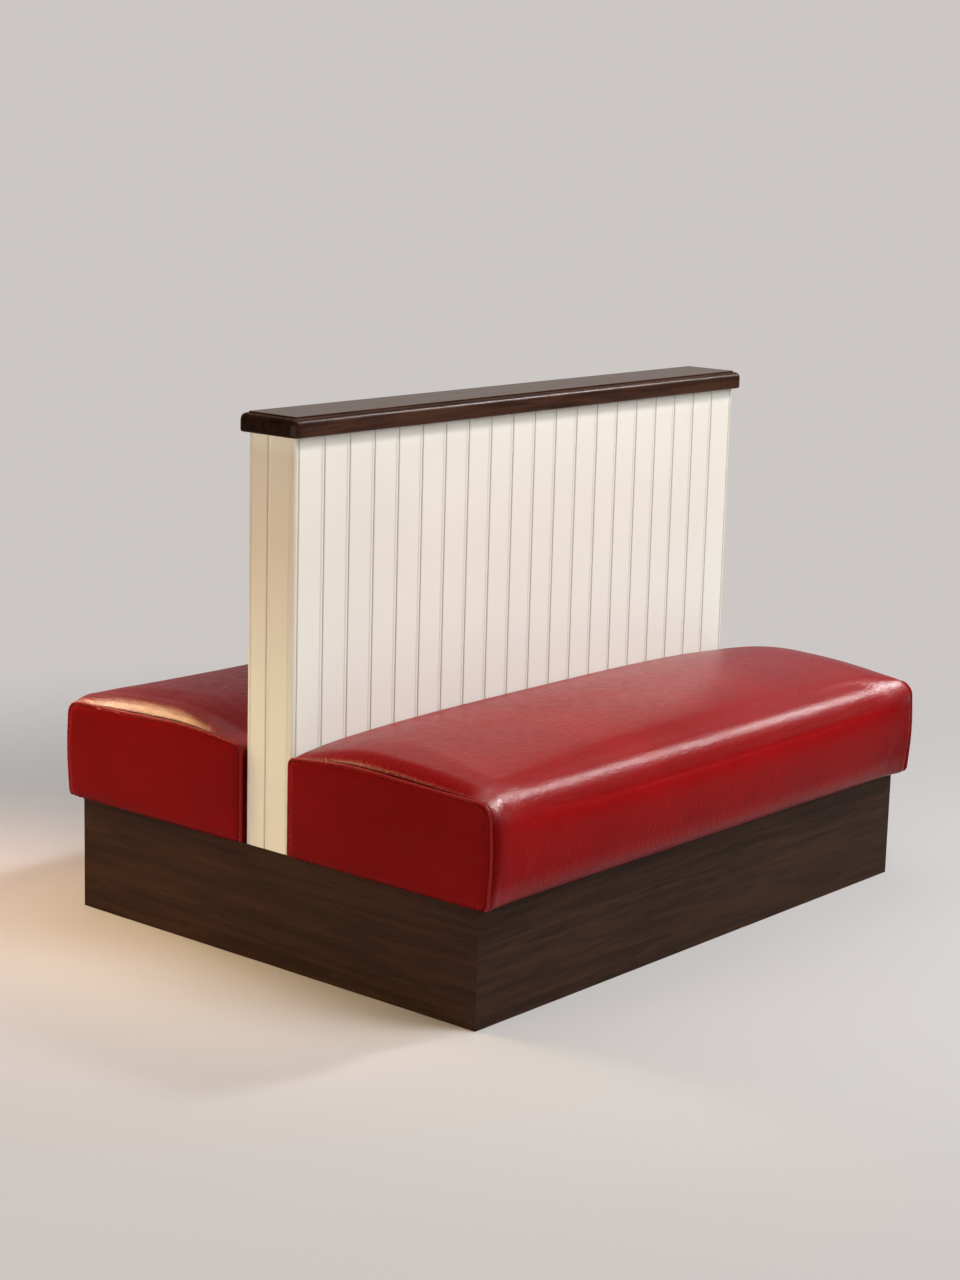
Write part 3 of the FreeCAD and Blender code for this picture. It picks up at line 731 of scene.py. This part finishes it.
def filled_out(points, quads, held, reach):
    """Points of a cover after a short cloth simulation under pressure from its filling.

    The moves are averaged with their neighbours' to keep out creases. The held points stay, and
    no point moves further than the reach.
    """
    scene = bpy.context.scene
    start = points.reshape(-1, 3)
    mesh = bpy.data.meshes.new("filling")
    mesh.from_pydata(start.tolist(), [], quads.tolist())
    cover = bpy.data.objects.new("filling", mesh)
    scene.collection.objects.link(cover)
    group = cover.vertex_groups.new(name="held")
    group.add(np.flatnonzero(held.ravel()).tolist(), 1.0, "REPLACE")
    cloth = cover.modifiers.new("cloth", "CLOTH")
    settings = cloth.settings
    settings.quality = 5
    settings.tension_stiffness = 18
    settings.compression_stiffness = 18
    settings.bending_stiffness = 2.0
    settings.vertex_group_mass = group.name
    settings.use_pressure = True
    settings.uniform_pressure_force = 10.0
    settings.effector_weights.gravity = 0
    cloth.collision_settings.use_collision = False
    cloth.point_cache.frame_start = 1
    cloth.point_cache.frame_end = 20
    for step in range(1, 21):
        scene.frame_set(step)
    filled = cover.evaluated_get(bpy.context.evaluated_depsgraph_get()).data
    moved = np.empty(start.size)
    filled.vertices.foreach_get("co", moved)
    move = (moved.reshape(-1, 3) - start).reshape(points.shape)
    for _ in range(8):
        move[1:-1] = (move[:-2] + 2 * move[1:-1] + move[2:]) / 4
        move[:, 1:-1] = (move[:, :-2] + 2 * move[:, 1:-1] + move[:, 2:]) / 4
        move[held] = 0
    length = np.linalg.norm(move, axis=-1, keepdims=True)
    move *= np.minimum(1, reach / np.maximum(length, 1e-9))
    bpy.data.objects.remove(cover)
    bpy.data.meshes.remove(mesh)
    scene.frame_set(1)
    return points + move


def open_underside(points, sizes):
    """The order of the section's points from the front flap's edge round to the back flap's edge.

    The underside between the two flaps is left out, as it is open to the deck.
    """
    middle = points[points.shape[0] // 2]
    back = COVER_HIGH[1]
    front = back - sizes.depth + sizes.middle_lip_tuck + LIP_ROUND
    low = middle[:, 2] < COVER_LOW[2] + 0.2 * MM
    inside = low & (middle[:, 1] < back - FLAP) & (middle[:, 1] > front + FLAP)
    gap = np.flatnonzero(inside)
    return np.concatenate([np.arange(gap[-1], points.shape[1]), np.arange(0, gap[0] + 1)])


def end_rim(sizes):
    """The section at the end seam as one closed ring of depths and heights."""
    none = np.zeros(1)
    return section_points(section_corners(sizes, none, none, none, none, none + sizes.end_edge_lift))


def end_panel_skin(sizes):
    """The left end panel: rings from its seam to its middle, bulging outwards.

    The bulge rises with the distance from the rim: a quarter ellipse over the roll beside the
    seam, and one minus a falling exponential for the slow dome across the panel.
    """
    seam = COVER_LOW[0]
    rim = end_rim(sizes)[0]
    middle = rim.mean(axis=0)
    rings = 1 - np.linspace(0, 1, 52)[:-1] ** 1.8
    flat = middle + (rim - middle)[None] * rings[:, None, None]
    gaps = np.linalg.norm(flat[:, :, None, :] - rim[None, None, ::2, :], axis=-1).min(axis=-1)
    gaps[0] = 0
    out = sizes.panel_rise * roll(gaps, sizes.panel_roll_width)
    out += sizes.panel_dome * (1 - np.exp(-gaps / PANEL_DOME_WIDTH)) - dip(gaps)
    tuck = drawn_in(rim[None], [PANEL_TUCK])
    flat = np.concatenate([tuck, flat])
    out = np.concatenate([out[:1] - 0.2 * MM, out])
    points = seat_space(np.zeros(len(flat)), flat)
    points[..., 0] = seam - out
    centre = seat_space([0], middle[None, None])[0, 0]
    centre[0] = seam - out[-1].max()
    return points, centre


def welt_line(sizes):
    """The piping's centre line at the left seam: up the back, over the top and down the front."""
    ring = drawn_in(end_rim(sizes), [-WELT_PROUD])[0]
    depth, height = ring[:, 0], ring[:, 1]
    upper = (height > 3 * MM) | (depth > depth.max() - 9 * MM) & (height > 1.5 * MM)
    return ring[upper]


def tube(line, x, radius, sides=14):
    """A round tube along a plane line at X: circles square to the line, closed at both ends."""
    ahead = np.gradient(line, axis=0)
    ahead /= np.linalg.norm(ahead, axis=-1, keepdims=True)
    normal = np.stack([-ahead[:, 1], ahead[:, 0]], axis=-1)
    angle = np.linspace(0, math.tau, sides, endpoint=False)
    ease = np.sqrt(np.clip(np.minimum(np.arange(len(line)), np.arange(len(line))[::-1]) / 2, 0, 1))
    size = radius * np.maximum(ease, 0.05)
    across = normal[:, None, :] * (np.cos(angle)[None, :, None] * size[:, None, None])
    flat = line[:, None, :] + across
    points = seat_space(np.zeros(len(line)), flat)
    points[..., 0] = x + np.sin(angle)[None, :] * size[:, None]
    return points


def give_thickness(piece, thickness):
    """A wall behind the piece's outer face."""
    wall = piece.modifiers.new("thickness", "SOLIDIFY")
    wall.thickness = thickness
    wall.offset = -1.0


# Operators

def scene_settings():
    """The add-on's settings of this scene."""
    scene = bpy.context.scene
    return scene.booth_seat, scene.booth_colours, scene.booth_stage


class BOOTH_OT_woodwork(bpy.types.Operator):
    """Finish the plinth, the partition and the cap rail"""

    bl_idname = "booth.woodwork"
    bl_label = "Woodwork"

    def execute(self, context):
        _, colours, _ = scene_settings()
        oak_x = stained_wood("oak_long", colours.plinth, 0, 0.50, 0.09, 0.42)
        oak_y = stained_wood("oak_across", colours.plinth, 1, 0.50, 0.09, 0.42)
        walnut = stained_wood("walnut_long", colours.cap, 0, 0.26, 0.13, 0.45, CAP_TOP)
        pine = (0.55, 0.38, 0.21)
        timber_x = plain_timber("pine_along", pine, 0)
        timber_y = plain_timber("pine_across", pine, 1)
        timber_z = plain_timber("pine_upright", pine, 2)
        ply = plywood("birch_plywood", (0.56, 0.38, 0.21))
        finishes = (
            (oak_x, ("base_front_panel", "base_rear_panel")),
            (oak_y, ("base_left_end_panel", "base_right_end_panel")),
            (walnut, ("cap_front_board", "cap_rear_board")),
            (timber_x, ("partition_bottom_rail", "partition_top_rail", "partition_noggings",
                        "front_seat_cleats", "rear_seat_cleats")),
            (timber_y, ("base_ribs",)),
            (timber_z, ("partition_end_posts", "partition_studs", "base_corner_blocks")),
            (ply, ("cap_spline", "front_seat_deck", "rear_seat_deck")),
        )
        for material, names in finishes:
            for name in names:
                dress(name, material)

        paint = colours.paint
        # Painted warm light: the end boards and beads take a warmer copy of the paint
        warm_lit_paint = tuple(c * k for c, k in zip(paint, (1.0, 0.985, 0.92)))
        front_pitch = (BOARDS_HIGH[0] - BOARDS_LOW[0]) / BOARD_COUNT
        rear_pitch = (REAR_BOARDS_HIGH[0] - REAR_BOARDS_LOW[0]) / BOARD_COUNT
        end_seam = END_BOARDS_LOW[1] + END_BOARD_WIDTH
        dress("front_boards", cream_paint("cream_front", paint, (0, BOARDS_LOW[0], front_pitch, 1)))
        dress("rear_boards", cream_paint("cream_rear", paint, (0, -REAR_BOARDS_HIGH[0], rear_pitch, -1)))
        dress("left_end_boards", cream_paint("cream_left", warm_lit_paint, (1, end_seam, END_JOINT_PITCH, 1)))
        dress("right_end_boards", cream_paint("cream_right", warm_lit_paint, (1, -end_seam, END_JOINT_PITCH, 1)))
        dress("corner_beads", cream_paint("cream_beads", shade(warm_lit_paint, 0.93)))
        return {"FINISHED"}


class BOOTH_OT_seat_covers(bpy.types.Operator):
    """Upholster both seats with their crowned main covers"""

    bl_idname = "booth.seat_covers"
    bl_label = "Seat Covers"

    def execute(self, context):
        sizes, colours, _ = scene_settings()
        vinyl = cover_vinyl("upholstery_vinyl", colours.vinyl, float(COVER_HIGH[0]))
        swell = sizes.swell
        points, held = cushion_skin(sizes, swell)
        order = open_underside(points, sizes)
        points, held = points[:, order], held[:, order]
        quads = grid_quads(*points.shape[:2])
        if swell:
            points = filled_out(points, quads, held, 1.1 * swell)
        for side in ("front", "rear"):
            placed = points if side == "front" else turned(points)
            cover = surface(side + "_cushion", placed, quads, vinyl)
            give_thickness(cover, sizes.vinyl_thickness)
            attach(cover, side + "_seat")
            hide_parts(side + "_seat_cover", side + "_seat_foam")
        return {"FINISHED"}


class BOOTH_OT_end_panels(bpy.types.Operator):
    """Sew in the padded end panels of both seats"""

    bl_idname = "booth.end_panels"
    bl_label = "End Panels"

    def execute(self, context):
        sizes, colours, _ = scene_settings()
        vinyl = shaded_panel_vinyl("end_panel_vinyl", colours.shaded_panel_vinyl, float(COVER_HIGH[0]))
        points, centre = end_panel_skin(sizes)
        rows, columns = points.shape[:2]
        fan = fan_triangles((rows - 1) * columns, columns, rows * columns)
        whole = np.concatenate([points.reshape(-1, 3), centre[None]])
        faces = grid_quads(rows, columns, ring=True).tolist() + fan.tolist()
        for side, end, panel in end_pieces("end_panel", whole, faces, vinyl):
            give_thickness(panel, sizes.vinyl_thickness)
            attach(panel, side + "_seat")
            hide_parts("%s_seat_%s_end_cover" % (side, end))
        return {"FINISHED"}


class BOOTH_OT_welts(bpy.types.Operator):
    """Lay the piping in the end seams"""

    bl_idname = "booth.welts"
    bl_label = "Welts"

    def execute(self, context):
        sizes, colours, _ = scene_settings()
        vinyl = piping_vinyl("piping_vinyl", colours.vinyl)
        points = tube(welt_line(sizes), COVER_LOW[0], sizes.welt_radius)
        rows, columns = points.shape[:2]
        caps = [list(range(columns))[::-1], [(rows - 1) * columns + i for i in range(columns)]]
        faces = grid_quads(rows, columns, ring=True).tolist() + caps
        for side, _, welt in end_pieces("welt", points, faces, vinyl):
            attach(welt, side + "_seat")
            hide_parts(side + "_seat_welts")
        return {"FINISHED"}


class BOOTH_OT_dust_cloths(bpy.types.Operator):
    """Stretch the dust cloths under the decks"""

    bl_idname = "booth.dust_cloths"
    bl_label = "Dust Cloths"

    def execute(self, context):
        cloth = dust_cloth((0.012, 0.012, 0.012))
        columns, rows = DUST_GRID
        wave_x, wave_y = (np.sin(np.linspace(0, math.pi, count)) for count in DUST_GRID)
        points = np.empty((columns, rows, 3))
        points[..., 0] = np.linspace(DUST_LOW[0], DUST_HIGH[0], columns)[:, None]
        points[..., 1] = np.linspace(DUST_LOW[1], DUST_HIGH[1], rows)
        points[..., 2] = DECK_LOW[2] - DUST_GAP - DUST_SAG * (wave_x[:, None] * wave_y)
        quads = grid_quads(columns, rows)
        for side in ("front", "rear"):
            placed = points if side == "front" else turned(points)
            sheet = surface(side + "_dust_cloth", placed, quads, cloth)
            give_thickness(sheet, DUST_THICKNESS)
            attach(sheet, side + "_seat")
            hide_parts(side + "_seat_dust_cover")
        return {"FINISHED"}


# Each lamp's name, place, aim, size, power, colour and spread in degrees
LAMPS = (
    ("key", (1.6, -4.6, 3.4), (0, 0, 0.5), 2.0, 87, (1.0, 0.99, 0.97), 180),
    ("high", (1.2, -3.2, 5.0), (0, 0, 0.5), 2.0, 123, (1.0, 1.0, 1.0), 180),
    ("shoulder", (4.7, -2.1, 4.5), (0, -0.3, 0.45), 0.7, 210, (1.0, 0.98, 0.98), 180),
    ("overhead", (0.3, 0.6, 4.2), (0, 0, 0.3), 3.0, 28, (1.0, 0.99, 0.98), 180),
    ("corner", (-0.2, -1.8, 3.7), (-0.7, -0.5, 0.43), 0.9, 40, (1.0, 0.98, 0.98), 180),
    ("fill", (-4.6, -1.8, 0.9), (-0.7, 0, 0.5), 2.0, 40, (1.0, 0.94, 0.84), 180),
    ("rim", (-3.2, 0.4, 0.9), (-0.7, 0, 0.5), 1.4, 21, (1.0, 0.66, 0.43), 180),
    ("amber", (-1.30, 1.5, 1.7), (-0.7, 0.38, 0.43), 0.36, 1.4, (1.0, 0.72, 0.27), 42),
    ("glow", (-0.88, 2.1, 1.1), (-0.95, 0.36, 0.0), 0.6, 6.2, (1.0, 0.69, 0.51), 60),
)

# The world's light: its level, how much it adds towards the backdrop, where that lies, and the
# cosines between which it rises
WORLD_BASE = 0.05
WORLD_LOBE = 0.34
WORLD_AIM = (0.750, 0.630, 0.201)
WORLD_RISE = (0.80, 0.98)


def soft_light(name, place, aim, size, power, colour, spread):
    """A square soft light that faces a point."""
    lamp = bpy.data.lights.new(name, "AREA")
    lamp.size = size
    lamp.energy = power
    lamp.color = colour
    lamp.spread = math.radians(spread)
    holder = bpy.data.objects.new(name, lamp)
    holder.location = place
    holder.rotation_mode = "QUATERNION"
    holder.rotation_quaternion = (Vector(aim) - Vector(place)).to_track_quat("-Z", "Y")
    bpy.context.scene.collection.objects.link(holder)


class BOOTH_OT_stage(bpy.types.Operator):
    """Set up the floor, the soft studio light and the camera"""

    bl_idname = "booth.stage"
    bl_label = "Stage"

    def execute(self, context):
        _, _, stage = scene_settings()
        self.floor(stage)
        self.world(stage)
        self.lights()
        self.camera(stage)
        context.scene.view_settings.view_transform = "Standard"
        return {"FINISHED"}

    def floor(self, stage):
        """A disc whose rings widen outwards, fading into the backdrop."""
        radius = np.linspace(0, 1, FLOOR_RINGS + 1)[1:] ** 2 * FLOOR_RADIUS
        angle = np.linspace(0, math.tau, FLOOR_SIDES, endpoint=False)
        points = np.zeros((FLOOR_RINGS, FLOOR_SIDES, 3))
        points[..., 0] = radius[:, None] * np.cos(angle)
        points[..., 1] = radius[:, None] * np.sin(angle)
        points[..., 2] = -FLOOR_DROP
        whole = np.concatenate([points.reshape(-1, 3), [[0, 0, -FLOOR_DROP]]])
        rings = grid_quads(FLOOR_RINGS, FLOOR_SIDES, ring=True)[:, ::-1]
        fan = fan_triangles(0, FLOOR_SIDES, FLOOR_RINGS * FLOOR_SIDES)
        faces = rings.tolist() + fan.tolist()

        n = Nodes("studio_floor")
        x, y, _ = n.axes()
        away = n.math("SQRT", n.math("ADD", n.math("POWER", x, 2.0), n.math("POWER", y, 2.0)))
        fade = n.ramp(away, *FLOOR_FADE)
        lit = n.add("ShaderNodeBsdfDiffuse", Color=tuple(stage.floor) + (1.0,)).outputs[0]
        backdrop = tuple(stage.backdrop) + (1.0,)
        plain = n.add("ShaderNodeEmission", Color=backdrop, Strength=1.0).outputs[0]
        camera_ray = n.add("ShaderNodeLightPath").outputs["Is Camera Ray"]
        mixed = n.add("ShaderNodeMixShader")
        for socket, value in zip(mixed.inputs, (n.math("MULTIPLY", fade, camera_ray), lit, plain)):
            n.feed(socket, value)
        n.tree.links.new(mixed.outputs[0], n.output.inputs["Surface"])
        piece = surface("studio_floor", whole, faces, n.material)

    def world(self, stage):
        """Dim light, brighter from the backdrop's side, and the backdrop's colour for the camera."""
        world = bpy.data.worlds.new("studio")
        bpy.context.scene.world = world
        world.use_nodes = True
        tree = world.node_tree
        tree.nodes.clear()
        output = tree.nodes.new("ShaderNodeOutputWorld")
        seen = tree.nodes.new("ShaderNodeBackground")
        seen.inputs["Color"].default_value = tuple(stage.backdrop) + (1.0,)
        light = tree.nodes.new("ShaderNodeBackground")
        light.inputs["Color"].default_value = (0.95, 0.97, 1.0, 1.0)
        direction = tree.nodes.new("ShaderNodeTexCoord")
        facing = tree.nodes.new("ShaderNodeVectorMath")
        facing.operation = "DOT_PRODUCT"
        facing.inputs[1].default_value = WORLD_AIM
        level = tree.nodes.new("ShaderNodeMapRange")
        level.interpolation_type = "SMOOTHSTEP"
        for key, value in (("From Min", WORLD_RISE[0]), ("From Max", WORLD_RISE[1]),
                           ("To Min", WORLD_BASE), ("To Max", WORLD_BASE + WORLD_LOBE)):
            level.inputs[key].default_value = value
        tree.links.new(direction.outputs["Generated"], facing.inputs[0])
        tree.links.new(facing.outputs["Value"], level.inputs["Value"])
        tree.links.new(level.outputs[0], light.inputs["Strength"])
        path = tree.nodes.new("ShaderNodeLightPath")
        mixed = tree.nodes.new("ShaderNodeMixShader")
        tree.links.new(path.outputs["Is Camera Ray"], mixed.inputs[0])
        tree.links.new(light.outputs[0], mixed.inputs[1])
        tree.links.new(seen.outputs[0], mixed.inputs[2])
        tree.links.new(mixed.outputs[0], output.inputs["Surface"])

    def lights(self):
        """The soft lamps of the table, each facing its aim."""
        for lamp in LAMPS:
            soft_light(*lamp)

    def camera(self, stage):
        """The camera at the photograph's viewing angle."""
        lens = bpy.data.cameras.new("camera")
        lens.lens = stage.camera_lens
        lens.sensor_width = 36.0
        ahead = Vector(stage.camera_aim).normalized()
        right = ahead.cross(Vector((0, 0, 1))).normalized()
        up = right.cross(ahead)
        level = Matrix((right, up, -ahead)).transposed()
        roll = Matrix.Rotation(stage.camera_roll, 3, "Z")
        holder = bpy.data.objects.new("camera", lens)
        holder.matrix_world = Matrix.Translation(Vector(stage.camera_place)) @ (level @ roll).to_4x4()
        bpy.context.scene.collection.objects.link(holder)
        bpy.context.scene.camera = holder


class BOOTH_PT_sidebar(bpy.types.Panel):
    """The booth's steps, sizes and colours"""

    bl_idname = "BOOTH_PT_sidebar"
    bl_label = "Booth"
    bl_space_type = "VIEW_3D"
    bl_region_type = "UI"
    bl_category = "Booth"

    def draw(self, context):
        layout = self.layout
        for operator in OPERATORS:
            layout.operator(operator.bl_idname)
        for group in (context.scene.booth_seat, context.scene.booth_colours, context.scene.booth_stage):
            column = layout.column()
            for key in group.__annotations__:
                column.prop(group, key)


OPERATORS = (
    BOOTH_OT_woodwork,
    BOOTH_OT_seat_covers,
    BOOTH_OT_end_panels,
    BOOTH_OT_welts,
    BOOTH_OT_dust_cloths,
    BOOTH_OT_stage,
)
CLASSES = (BoothSeatSizes, BoothColours, BoothStageSettings) + OPERATORS + (BOOTH_PT_sidebar,)


def register():
    for cls in CLASSES:
        bpy.utils.register_class(cls)
    bpy.types.Scene.booth_seat = PointerProperty(type=BoothSeatSizes)
    bpy.types.Scene.booth_colours = PointerProperty(type=BoothColours)
    bpy.types.Scene.booth_stage = PointerProperty(type=BoothStageSettings)


def unregister():
    del bpy.types.Scene.booth_seat
    del bpy.types.Scene.booth_colours
    del bpy.types.Scene.booth_stage
    for cls in reversed(CLASSES):
        bpy.utils.unregister_class(cls)


def main():
    """Builds every piece."""
    register()
    bpy.ops.booth.woodwork()
    bpy.ops.booth.seat_covers()
    bpy.ops.booth.end_panels()
    bpy.ops.booth.welts()
    bpy.ops.booth.dust_cloths()
    bpy.ops.booth.stage()


if __name__ == "__main__":
    main()
